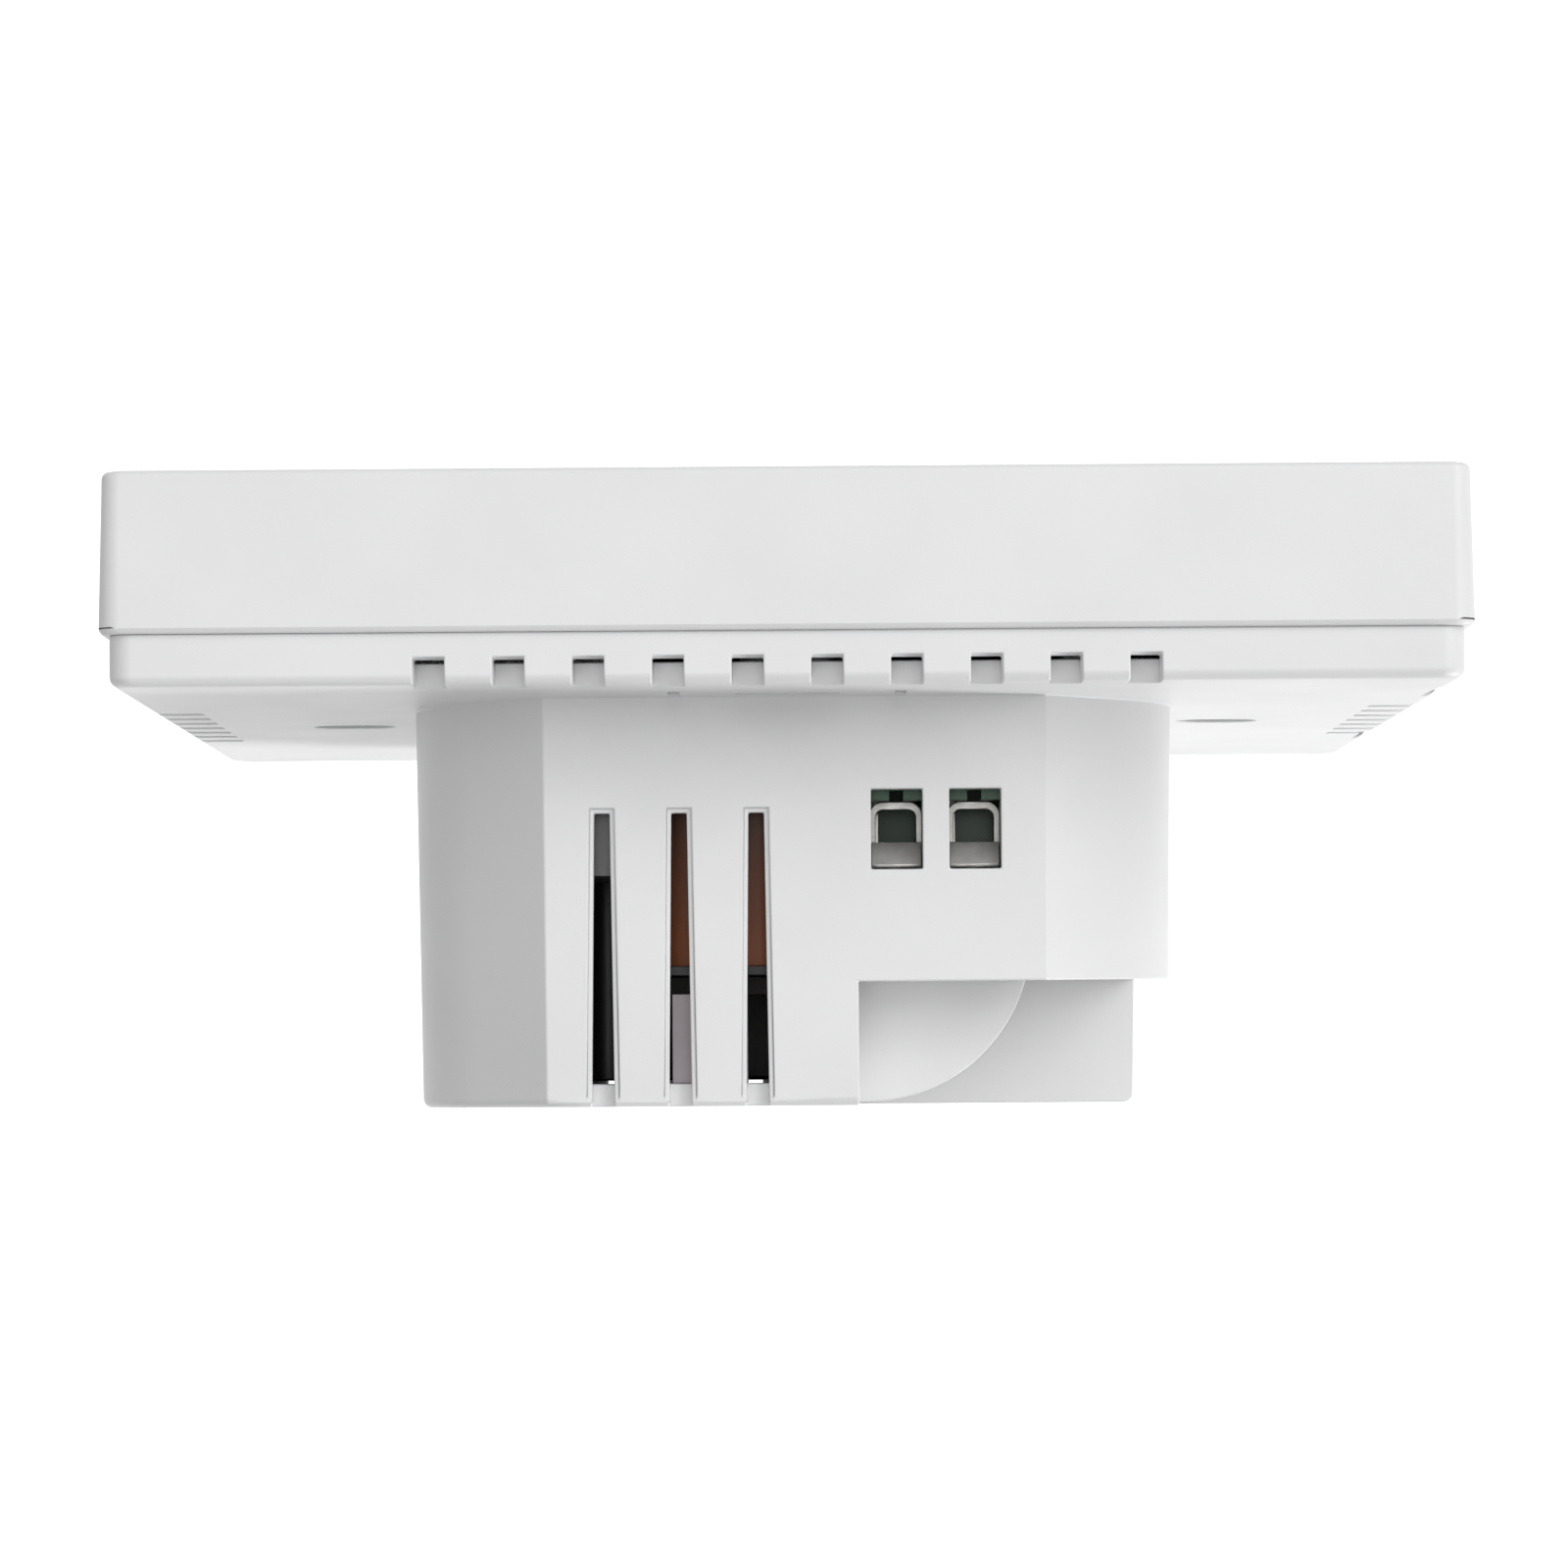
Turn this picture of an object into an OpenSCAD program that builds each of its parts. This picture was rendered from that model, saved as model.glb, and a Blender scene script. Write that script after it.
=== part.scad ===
// Wall thermostat for a recessed wall box.
// Frame: +X right and +Z up as seen from the room, +Y into the wall.
// Origin: centre of the base plate's rear face, which lies on the wall (y = 0).

/* [Front cover] */
// Width and height of the cover at its lip
cover_w = 86.4; // [85:0.1:88]
// Depth of the cover, front to back
cover_depth = 10.3; // [9.9:0.1:10.5]
// How much each side draws in towards the front
cover_draft = 0.2; // [0.1:0.02:0.4]
// Thickness of the cover's side walls
cover_wall = 1.6; // [1.4:0.1:1.7]
// Thickness of the cover's front wall
front_wall = 2; // [1.8:0.1:2.1]
// Rounding of the cover's front edge
cover_round = 0.45; // [0.2:0.05:0.8]

/* [Window and keys] */
// Width of the display window
window_w = 60; // [58:1:62]
// Height of the display window
window_h = 42; // [40:1:44]
// Height of the window's centre above the middle of the cover
window_z = 10; // [8:1:12]
// Thickness of the window
window_t = 1.4; // [1:0.1:1.5]
// Width of one key
key_w = 13; // [11:0.5:14]
// Height of one key
key_h = 5.6; // [5:0.2:6]
// Spacing of the keys
key_pitch = 18; // [17:0.5:19]
// Height of the keys above the middle of the cover
key_z = -26; // [-28:0.5:-25]
// Travel of a key
key_travel = 0.3; // [0.2:0.05:0.4]

/* [Base plate] */
// Depth of the base plate behind the cover
base_depth = 3.3; // [3.2:0.1:3.5]
// How far the base plate's sides stand in from the cover's lip
base_inset = 0.6; // [0.5:0.05:1]
// Rounding of the base plate's rear edge
base_round = 0.7; // [0.5:0.1:1.2]
// Width of one vent notch
vent_w = 2; // [1.6:0.1:2.4]
// Spacing of the vent notches
vent_pitch = 5; // [4.8:0.1:5.2]

/* [Rear box] */
// Width of the rear box
box_w = 50.7; // [50.4:0.1:51]
// Height of the rear box
box_h = 59.4; // [59.2:0.1:60]
// Width of the box's flat top and bottom faces
box_face_w = 32.6; // [32.4:0.1:33]
// Depth of the box behind the wall plane
box_depth = 26.5; // [26.2:0.1:27]
// Radius that blends the corner facets into the sides
box_corner_r = 14.3; // [14:0.1:14.6]
// Sideways shift of the box on the base plate
box_shift = -0.45; // [-0.6:0.05:-0.4]
// Wall thickness of the box
box_wall = 1.7; // [1.6:0.05:1.75]

/* [Wall mounting] */
// Spacing of the two wall screw slots
screw_spacing = 60; // [60:0.1:60.3]
// Width of a wall screw slot
screw_slot_w = 3.8; // [3.6:0.1:4.4]
// Length of a wall screw slot, end to end
screw_slot_l = 5.6; // [5.4:0.1:7]

/* [Terminals] */
// Spacing of the poles in a terminal block
pole_pitch = 5.08; // [5:0.01:5.08]
// Width of a wire entry
entry_w = 3.35; // [3.1:0.05:3.4]
// Height of a wire entry
entry_h = 5.2; // [4.9:0.05:5.25]

/* [Hidden] */
KEY_NAMES = ["power", "menu", "down", "up"];
$fn = 48;
hull_fn = 32;
skin = 0.01;
over = 1;

// Levels along Y, from the room to the back of the box
y_front = -(cover_depth + base_depth);
y_inside = y_front + front_wall;
y_board_front = -6;
y_board_back = -4.4;
y_lip = -base_depth;
y_floor = -1.6;
y_power_front = 2.4;
y_power_back = 4;
y_box_end = box_depth;
y_box_floor = box_depth - 1.5;

// Base plate
base_w = cover_w - 2 * base_inset;
base_r = 1.5;
rim_w = cover_w - 2 * cover_wall - 1.4;
tray_w = rim_w - 2.4;
tray_r = 1.5;
y_rim = -5.6;
vent_top = -1.75;
vent_in = 3.4;
top_vents = 10;
side_vents = 7;
ramp_z = [-21.5, 25.5];
ramp_l = 8.5;
ramp_in = 0.95;
ramp_depth = 0.45;
latch_x = 7.3;
latch_w = 6.7;

// Rear box
box_draft = 0.42;
box_round = 0.6;
facet_sum = (box_face_w + box_h) / 2;
slot_x = [2.05, 7.05, 12.05];
slot_top = 7.5;
slot_w0 = 1;
slot_w1 = 1.5;
slot_rim = 0.3;

// Recess behind the terminals, where the clamp screws are reached
recess_x = -4.5;
recess_y = 18.5;
recess_end_z = -17.5;
recess_step_z = 20.8;
recess_round = 10.9;
recess_round_x = -5.16;
recess_round_y = 15.4;
recess_wall = 1.4;
recess_fall = 1.1;

// Terminals: each pole is [x, z, turn about Y], with its wire entry facing local +Z
block_face = 3.8;
block_back = -4;
block_top = 16.8;
entry_y = 6.05;
block_lip = 0.65;
leg_x = [1.05, 1.65];
leg_z = [-3.4, -2.95];
plate_y = [9.4, 9.9];
cage_y = [6.72, 13.2];
wire_gap_y = [7.24, 12.4];
cage_l = 3.4;
pole_turn = -90;
sensor_z = box_h / 2 - box_wall - 0.2 - block_face;
mains_x = box_shift - box_w / 2 + box_wall + 0.2 + block_face;
sensor_x0 = -7.06;
mains_z0 = -2.75;
POLES = [
    [sensor_x0, sensor_z, 0],
    [sensor_x0 - pole_pitch, sensor_z, 0],
    for (i = [0:3]) [mains_x, mains_z0 + i * pole_pitch, pole_turn],
];
screw_hole_r = 1.8;
driver_hole_r = 1.9;

// Board screws
display_screw_at = 33.5;
boss_r = 2.6;
screw_r = 1;
power_screws = [[18.5, 12.5], [-19.5, -12.5]];

// Header between the two boards
header_x = 12;
header_z = 2;
header_pitch = 2.54;
header_cols = 5;
header_rows = 2;
pin_t = 0.64;

// Relay
relay_x = 9.2;
relay_z = -15.6;
relay_l = 18.6;
relay_h = 15;
relay_top = 24.7;
relay_wall = 0.7;
coil_x = -2.5;
y_armature = 20.15;

// Colours
white = [0.9, 0.9, 0.9];
board_green = [0.08, 0.3, 0.16];
terminal_green = [0.1, 0.36, 0.2];
tin = [0.75, 0.74, 0.72];
steel = [0.6, 0.6, 0.62];
black = [0.06, 0.06, 0.07];

// ---------- helpers ----------

// Extrudes a 2D outline, drawn in X and Z, from y0 to y1
module along_y(y0, y1) translate([0, y1, 0]) rotate([90, 0, 0]) linear_extrude(y1 - y0) children();

// A round bar along Y
module rod(x, z, y0, y1, r) translate([x, y1, z]) rotate([90, 0, 0]) cylinder(h = y1 - y0, r = r);

// A box from its lowest to its highest corner
module block(lo, hi) translate(lo) cube(hi - lo);

module rounded(w, h, r) {
    square([w - 2 * r, h], center = true);
    square([w, h - 2 * r], center = true);
    for (x = [-1, 1], z = [-1, 1]) translate([x * (w / 2 - r), z * (h / 2 - r)]) circle(r);
}

module pill(w, h) {
    square([w - h, h], center = true);
    for (x = [-1, 1]) translate([x * (w - h) / 2, 0]) circle(h / 2);
}

// A thin square plate, as one station of a hull
module station(y, w, r) along_y(y, y + skin) rounded(w, w, r, $fn = hull_fn);

module at_pole(i) translate([POLES[i][0], 0, POLES[i][1]]) rotate([0, POLES[i][2], 0]) children();

// Outline of the rear box, drawn in by t: flat ends, corner facets, and arcs into the sides
function box_corner(t) =
    let (w = box_w / 2 - t, h = box_h / 2 - t, sum = facet_sum - t * sqrt(2), r = box_corner_r - t)
    let (cx = w - r, cz = sum - cx - r * sqrt(2))
    concat([for (a = [0:7.5:45]) [cx + r * cos(a), cz + r * sin(a)]], [[sum - h, h]]);
function flipped(points, sx, sz) = [for (p = points) [sx * p[0], sz * p[1]]];
function reversed(points) = [for (i = [len(points) - 1:-1:0]) points[i]];
function box_outline(t) =
    let (c = box_corner(t))
    concat(c, reversed(flipped(c, -1, 1)), flipped(c, -1, -1), reversed(flipped(c, 1, -1)));

module box_plate(t, y0, y1) along_y(y0, y1) translate([box_shift, 0]) polygon(box_outline(t));

// ---------- front half ----------

module cover_body() hull() {
    for (a = [0:30:90])
        station(y_front + cover_round * (1 - sin(a)), cover_w - 2 * (cover_draft + cover_round * (1 - cos(a))), 1.2);
    station(y_lip - 0.35, cover_w, 1.4);
    station(y_lip - skin, cover_w - 0.4, 1.3);
}

module front_cover() color(white) difference() {
    union() {
        difference() {
            cover_body();
            along_y(y_inside, over) rounded(cover_w - 2 * cover_wall, cover_w - 2 * cover_wall, 1);
        }
        for (x = [-1, 1], z = [-1, 1])
            rod(x * display_screw_at, z * display_screw_at, y_inside - over / 2, y_board_front - 0.05, boss_r);
        for (i = [0:3]) along_y(y_inside - over / 2, y_inside + 1.4) difference() {
            translate([key_x(i), key_z]) rounded(key_w + 4.6, key_h + 4.6, 1.5);
            translate([key_x(i), key_z]) rounded(key_w + 2.6, key_h + 2.6, 1);
        }
        for (z = [-1, 1]) block([-20, y_inside - over / 2, window_z + z * 23 - 0.5], [20, y_inside + 2, window_z + z * 23 + 0.5]);
    }
    along_y(y_front - over, y_front + window_t) translate([0, window_z]) rounded(window_w + 0.2, window_h + 0.2, 2.1);
    along_y(y_front - over, y_inside + over) translate([0, window_z]) rounded(window_w - 4, window_h - 4, 1.2);
    for (i = [0:3]) along_y(y_front - over, y_inside + over) translate([key_x(i), key_z]) pill(key_w + 0.5, key_h + 0.5);
    for (x = [-1, 1], z = [-1, 1])
        rod(x * display_screw_at, z * display_screw_at, y_inside + 0.4, 0, screw_r);
}

function key_x(i) = (i - 1.5) * key_pitch;

module display_window() color([0.1, 0.1, 0.12]) along_y(y_front, y_front + window_t)
    translate([0, window_z]) rounded(window_w, window_h, 2);

module lcd_panel() color([0.55, 0.62, 0.6]) {
    along_y(y_inside + 0.3, y_inside + 1.45) translate([0, window_z]) square([54, 36], center = true);
    along_y(y_inside + 1.45, y_inside + 2.5) translate([0, window_z]) square([54, 30], center = true);
}

module lcd_holder() color([0.93, 0.93, 0.92]) difference() {
    along_y(y_inside + 0.5, y_board_front) translate([0, window_z]) rounded(57, 39, 1);
    along_y(y_inside, y_inside + 2.6) translate([0, window_z]) square([54.4, 36.4], center = true);
    for (z = [-1, 1]) along_y(y_inside, over) translate([0, window_z + z * 16.7]) square([50.4, 1.9], center = true);
}

module zebra_strips() color([0.35, 0.35, 0.37])
    for (z = [-1, 1]) along_y(y_inside + 1.5, y_board_front) translate([0, window_z + z * 16.7]) square([50, 1.5], center = true);

module display_board() color(board_green) difference() {
    along_y(y_board_front, y_board_back) rounded(75, 75, 2);
    for (x = [-1, 1], z = [-1, 1]) rod(x * display_screw_at, z * display_screw_at, y_board_front - over, 0, 1.3);
    at_header() along_y(y_board_front - over, 0) square(pin_t + 0.2, center = true);
    // Slot that keeps the board's heat away from the room sensor
    along_y(y_board_front - over, 0) translate([-25, -29.5]) rounded(1.2, 10, 0.5);
    along_y(y_board_front - over, 0) translate([-19.5, -25]) rounded(12.2, 1.2, 0.5);
}

module display_board_screws() color(steel) for (x = [-1, 1], z = [-1, 1]) difference() {
    union() {
        rod(x * display_screw_at, z * display_screw_at, y_board_front - 4, y_board_back, screw_r - 0.03);
        rod(x * display_screw_at, z * display_screw_at, y_board_back, y_board_back + 1.5, 2);
    }
    for (turn = [0, 90]) translate([x * display_screw_at, y_board_back + 1.5, z * display_screw_at]) rotate([0, turn, 0])
        cube([2.4, 1.6, 0.5], center = true);
}

// Each child is drawn once at every pin of the header
module at_header() for (i = [0:header_cols - 1], j = [0:header_rows - 1])
    translate([header_x + (i - (header_cols - 1) / 2) * header_pitch, 0, header_z + (j - (header_rows - 1) / 2) * header_pitch])
        children();

module pin_header() color(black) difference() {
    block([header_x - 6.4, y_board_back, header_z - 2.5], [header_x + 6.4, y_board_back + 2.3, header_z + 2.5]);
    at_header() along_y(y_board_front, 0) square(pin_t + 0.02, center = true);
}

module header_pins() color([0.8, 0.65, 0.3])
    at_header() along_y(y_board_front, y_power_front - 1) square(pin_t, center = true);

module mcu_chip() color(black) translate([-12, 0, 20]) {
    block([-5, y_board_back + 0.1, -5], [5, y_board_back + 1.5, 5]);
    for (turn = [0:90:270], i = [-5:5]) rotate([0, turn, 0])
        block([i * 0.8 - 0.18, y_board_back, 4.8], [i * 0.8 + 0.18, y_board_back + 0.35, 6]);
}

module radio_module() color([0.05, 0.2, 0.32])
    block([10, y_board_back, 14], [26, y_board_back + 0.8, 36]);

module radio_shield() color(tin) block([11.5, y_board_back + 0.8, 15], [24.5, y_board_back + 2.4, 29]);

module buzzer() color(black) difference() {
    along_y(y_board_back, y_board_back + 2.2) translate([22, -22]) rounded(9, 9, 1);
    rod(22, -22, y_board_back + 1.2, over, 1);
}

module room_sensor() color([0.15, 0.13, 0.12]) translate([-19.5, y_board_back, -33]) {
    translate([0, 1.4, -1.4]) cylinder(h = 2.6, r = 1);
    for (x = [-0.6, 0.6]) {
        block([x - 0.15, 1.25, 1], [x + 0.15, 1.55, 6]);
        block([x - 0.15, 0, 5.7], [x + 0.15, 1.55, 6]);
    }
}

switch_top = y_board_front - 3.5;
plunger_r = 1.7;
plunger_top = y_inside + 1.05;

module tact_switches() color(black) for (i = [0:3]) {
    difference() {
        block([key_x(i) - 3, switch_top, key_z - 3], [key_x(i) + 3, y_board_front, key_z + 3]);
        rod(key_x(i), key_z, switch_top - over, switch_top + 1.7, plunger_r + 0.08);
    }
    for (x = [-1, 1], z = [-1, 1])
        block([key_x(i) + x * 3.4 - 0.45, y_board_front - 1.2, key_z + z * 2.2 - 0.35],
              [key_x(i) + x * 3.4 + 0.45, y_board_front, key_z + z * 2.2 + 0.35]);
}

module plunger(i) color([0.2, 0.2, 0.2]) rod(key_x(i), key_z, plunger_top, switch_top + 1.1, plunger_r);

module key(i) color(white) {
    along_y(y_front - 0.35, y_inside + 0.5) translate([key_x(i), key_z]) pill(key_w, key_h);
    along_y(y_inside + 0.08, y_inside + 0.8) translate([key_x(i), key_z]) rounded(key_w + 2, key_h + 2, 1);
    rod(key_x(i), key_z, y_inside + 0.7, plunger_top, 1.9);
}

// ---------- rear housing ----------

module base_body() hull() {
    station(y_lip, base_w, base_r);
    for (a = [0:22.5:90])
        station(-base_round * (1 - sin(a)) - skin, base_w - 2 * base_round * (1 - cos(a)), base_r);
}

module box_body() hull() {
    box_plate(0, -skin, 0);
    for (a = [0:30:90])
        box_plate(box_draft + box_round * (1 - cos(a)), y_box_end - box_round * (1 - sin(a)) - skin, y_box_end - box_round * (1 - sin(a)));
}

// The space outside the box's walls where the clamp screws are reached, grown by g on every side.
// Its floor falls away from the near edge by the angle given.
module recess(g, fall) difference() {
    translate([0, recess_y - g, box_h / 2]) rotate([-fall, 0, 0])
        block([-box_w, 0, recess_end_z - box_h / 2 - g], [recess_x + g, box_depth * 2, box_h]);
    translate([recess_round_x, recess_round_y, -box_h]) cylinder(h = box_h + recess_step_z - g, r = recess_round - g);
}

// A vent notch in the edge at +Z, just deep enough to open into the tray
module vent() block([-vent_w / 2, vent_top, base_w / 2 - vent_in], [vent_w / 2, over, base_w / 2 + over]);

// A ramp in the rear edge at -X, where a flat blade parts the front from the base
module pry_ramp(z) translate([-base_w / 2 - over, 0, z]) rotate([90, 0, 90]) linear_extrude(ramp_in + over)
    polygon([[-ramp_depth, 0], [over, 0], [over, ramp_l], [0, ramp_l]]);

module vents() {
    for (side = [0, 180], i = [0:top_vents - 1]) rotate([0, side, 0])
        translate([(i - (top_vents - 1) / 2) * vent_pitch, 0, 0]) vent();
    for (side = [90, -90], i = [0:side_vents - 1]) rotate([0, side, 0])
        translate([(i - (side_vents - 1) / 2) * vent_pitch, 0, 0]) vent();
}

// A tapered slot through the box's end wall, open at the back, with a shallow wider rim outside
module box_slot(x) translate([x, 0, 0]) {
    translate([0, 0, box_h / 2 - box_wall - 0.35]) linear_extrude(box_wall * 2)
        polygon([[-slot_w0 / 2, slot_top], [slot_w0 / 2, slot_top], [slot_w1 / 2, box_depth + over], [-slot_w1 / 2, box_depth + over]]);
    translate([0, 0, box_h / 2 - 0.5]) linear_extrude(box_wall)
        polygon([[-slot_w0 / 2 - slot_rim, slot_top - slot_rim], [slot_w0 / 2 + slot_rim, slot_top - slot_rim],
                 [slot_w1 / 2 + slot_rim, box_depth + over], [-slot_w1 / 2 - slot_rim, box_depth + over]]);
}

module rear_housing() color(white) difference() {
    union() {
        base_body();
        along_y(y_rim, y_lip + 0.5) rounded(rim_w, rim_w, 1.5);
        box_body();
    }
    along_y(y_rim - over, y_floor) rounded(tray_w, tray_w, tray_r);
    box_plate(0.9, y_floor - over, -0.2);
    difference() {
        box_plate(box_wall, y_floor - over, y_box_floor);
        recess(recess_wall, 0);
        for (p = power_screws) rod(p[0], p[1], y_power_back, y_box_end, boss_r);
    }
    recess(0, recess_fall);
    for (p = power_screws) rod(p[0], p[1], y_power_back - over, y_power_back + 7, screw_r);
    vents();
    for (x = slot_x) box_slot(x);
    for (i = [-2.5:2.5]) rotate([0, 180, 0]) box_slot(i * vent_pitch);
    // Wire entries and screwdriver holes at each pole
    for (i = [0:5]) at_pole(i) {
        block([-entry_w / 2, entry_y, block_face - 0.3], [entry_w / 2, entry_y + entry_h, block_face + 4]);
        rod(0, 0, recess_y - recess_wall - over, recess_y + over, driver_hole_r);
    }
    // Slots for the wall screws
    for (x = [-1, 1]) along_y(y_floor - over, over) translate([x * screw_spacing / 2, 0]) pill(screw_slot_l, screw_slot_w);
    for (z = ramp_z) pry_ramp(z);
    // Latch openings beside the box's top face
    for (x = [-latch_x, latch_x])
        block([x - 0.35, y_floor - over, box_h / 2 + 0.4], [x + 0.35, over, box_h / 2 + 4.6]);
    block([-latch_w / 2, y_floor - over, box_h / 2 + 0.8], [latch_w / 2, over, box_h / 2 + 2.6]);
}

module inner_cover() color(white) difference() {
    box_plate(1.1, y_floor + 0.1, -0.25);
    block([header_x - 7, y_floor - over, header_z - 3.2], [header_x + 7, over, header_z + 3.2]);
    for (x = [-16, -12, -8, -4, 0, 4]) along_y(y_floor - over, over) translate([x, 17]) square([1.4, 12], center = true);
}

// ---------- power electronics ----------

module power_board() color([0.1, 0.33, 0.18]) difference() {
    box_plate(box_wall + 0.35, y_power_front, y_power_back);
    for (p = power_screws) rod(p[0], p[1], 0, y_power_back + over, 1.3);
    for (i = [0:5]) at_pole(i) block([leg_x[0] - 0.15, 0, leg_z[0] - 0.15], [leg_x[1] + 0.15, y_power_back + over, leg_z[1] + 0.15]);
}

module power_board_screws() color(steel) for (p = power_screws) difference() {
    union() {
        rod(p[0], p[1], y_power_front, y_power_back + 5, screw_r - 0.03);
        rod(p[0], p[1], y_power_front - 1.4, y_power_front, 2);
    }
    for (turn = [0, 90]) translate([p[0], y_power_front - 1.4, p[1]]) rotate([0, turn, 0]) cube([2.4, 1.6, 0.5], center = true);
}

transformer_x = 4.05;
transformer_z = 20.8;
y_core_end = 19.2;
y_winding = [7.2, 17.4];

module transformer_core() color([0.16, 0.15, 0.15]) translate([transformer_x, 0, transformer_z]) {
    for (x = [-1, 1]) block([x * 6 - 1, 4.6, -2.6], [x * 6 + 1, y_core_end, 2.6]);
    for (y = [4.6, y_core_end - 1.15]) block([-7, y, -2.6], [7, y + 1.15, 2.6]);
    rod(0, 0, 5, y_core_end - 0.2, 2);
}

module transformer_bobbin() color(black) translate([transformer_x, 0, transformer_z]) difference() {
    union() {
        block([-4.8, y_winding[0] - 1, -6.4], [4.8, y_winding[0], 6.4]);
        block([-4.8, y_winding[1], -6.4], [4.8, y_winding[1] + 0.6, 6.4]);
        rod(0, 0, y_winding[0] - 1, y_winding[1] + 0.6, 2.8);
        for (z = [-1, 1]) block([-4.8, y_power_back, z * 5.4 - 0.9], [4.8, y_winding[0] - 0.9, z * 5.4 + 0.9]);
    }
    rod(0, 0, 0, 20, 2.1);
}

module transformer_winding() color([0.5, 0.27, 0.14]) translate([transformer_x, 0, transformer_z]) difference() {
    along_y(y_winding[0], y_winding[1]) rounded(9.4, 12, 2.5);
    rod(0, 0, 7, 18, 2.8);
}

module electrolytic_capacitor() color([0.12, 0.12, 0.14]) {
    rod(12.2, 8.4, y_power_back + 0.1, 24.7, 4);
    for (x = [-1, 1]) rod(12.2 + x * 1.75, 8.4, y_power_front - 1, y_power_back + 0.2, 0.3);
}

module film_capacitor() color([0.42, 0.42, 0.43]) {
    block([11.2, y_power_back, 14.6], [15.4, 11.5, 27]);
    for (z = [16, 25.6]) rod(13.6, z, y_power_front - 1, y_power_back + 0.2, 0.3);
}

// A soft pad that carries the transformer's heat to the floor of the box
module thermal_pad() color([0.46, 0.42, 0.45])
    block([2.7, y_core_end + 0.02, 15], [7.6, y_box_floor - 0.02, 27]);

module varistor() color([0.12, 0.28, 0.52]) {
    translate([-10, 10.4, 9]) rotate([0, 90, 0]) cylinder(h = 3.4, r = 4.6);
    for (z = [-1, 1]) rod(-8.3, 9 + z * 2.5, y_power_front - 1, 8, 0.35);
}

module fuse() color([0.8, 0.8, 0.78]) translate([-13.5, 0, -8]) {
    translate([0, 7.6, -7]) cylinder(h = 14, r = 1.6);
    for (z = [-1, 1]) {
        translate([0, 7.6, z * 5.6 - 1.6]) cylinder(h = 3.2, r = 1.8);
        rod(0, z * 5.6, y_power_front - 1, 6.4, 0.4);
    }
}

module bridge_rectifier() color(black) translate([-4, 0, -3]) {
    block([-3.2, y_power_back + 0.3, -4.2], [3.2, y_power_back + 3, 4.2]);
    for (x = [-1, 1], z = [-1, 1]) block([x * 3.4 - 0.3, y_power_front - 0.8, z * 2.54 - 0.3], [x * 3.4 + 0.3, y_power_back + 1.6, z * 2.54 + 0.3]);
}

module board_socket() color(black) difference() {
    block([header_x - 6.6, y_floor + 0.2, header_z - 2.8], [header_x + 6.6, y_power_front, header_z + 2.8]);
    at_header() along_y(y_floor, y_power_front - 0.5) square(pin_t + 0.24, center = true);
}

// ---------- relay ----------

module in_relay() translate([relay_x, 0, relay_z]) children();

module relay_base() color(black) in_relay() {
    block([-relay_l / 2 + 0.8, y_power_back + 0.1, -relay_h / 2 + 0.8], [relay_l / 2 - 0.8, y_power_back + 1.5, relay_h / 2 - 0.8]);
    for (p = [[-7, 5], [-7, -5], [7, 5], [7, -5], [7, 0]]) block([p[0] - 0.4, y_power_front - 1, p[1] - 0.25], [p[0] + 0.4, y_power_back + 0.5, p[1] + 0.25]);
}

module relay_case() color(black) in_relay() difference() {
    block([-relay_l / 2, y_power_back, -relay_h / 2], [relay_l / 2, relay_top, relay_h / 2]);
    block([-relay_l / 2 + relay_wall, y_power_back - over, -relay_h / 2 + relay_wall],
          [relay_l / 2 - relay_wall, relay_top - relay_wall, relay_h / 2 - relay_wall]);
}

module relay_coil() color([0.62, 0.3, 0.14]) in_relay() difference() {
    union() {
        rod(coil_x, 0, 6.6, y_armature - 1.15, 3.6);
        for (y = [6.1, y_armature - 1.65]) rod(coil_x, 0, y, y + 0.6, 4.2);
    }
    rod(coil_x, 0, 5, y_armature, 1.7);
}

module relay_yoke() color(steel) in_relay() {
    block([coil_x - 3, 5.55, -3.5], [3.9, 6.05, 3.5]);
    block([2.9, 5.55, -3.5], [3.9, y_armature - 0.15, 3.5]);
    rod(coil_x, 0, 5.8, y_armature - 0.65, 1.6);
}

// Two blades, each on its own post: the armature lies between them
module relay_contacts() color([0.72, 0.52, 0.26]) in_relay() for (side = [-1, 1]) {
    blade = y_armature + (side < 0 ? -1.55 : 1.35);
    rivet = side < 0 ? blade + 0.3 : blade - 0.3;
    block([-8.55, 5.5, side * 2.4 - 0.4], [-8.1, blade + 0.4, side * 2.4 + 0.4]);
    block([-8.5, blade, -2.8], [-6.9, blade + 0.4, 2.8]);
    rod(-7.6, 0, rivet, rivet + 0.4, 0.6);
}

module relay_armature() color(steel) in_relay() block([-7.9, y_armature, -3.5], [4.4, y_armature + 0.85, 3.5]);

// ---------- terminals ----------

// Lowest and highest corner of a terminal block over poles first to last, in the frame of its first pole
module terminal_block(first, last, direction) color(terminal_green) difference() {
    at_pole(first) {
        span = (last - first) * pole_pitch;
        block([-2.5 - (direction < 0 ? span : 0), y_power_back, block_back], [2.5 + (direction > 0 ? span : 0), block_top, block_face]);
    }
    for (i = [first:last]) at_pole(i) {
        block([-1.9, 5.2, -3.55], [1.9, 14.2, 2]);
        block([-entry_w / 2, entry_y + block_lip, 1.9], [entry_w / 2, entry_y + entry_h, block_face + over]);
        block([-0.45, entry_y, 1.9], [0.45, entry_y + 1, block_face + over]);
        rod(0, 0, 14, 16.2, screw_hole_r);
        rod(0, 0, 16, block_top + over, 1.5);
        block([leg_x[0] - 0.1, 3, leg_z[0] - 0.1], [leg_x[1] + 0.1, 5.5, leg_z[1] + 0.05]);
    }
}

module sensor_terminal_block() terminal_block(0, 1, -1);
module mains_terminal_block() terminal_block(2, 5, 1);

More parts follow.
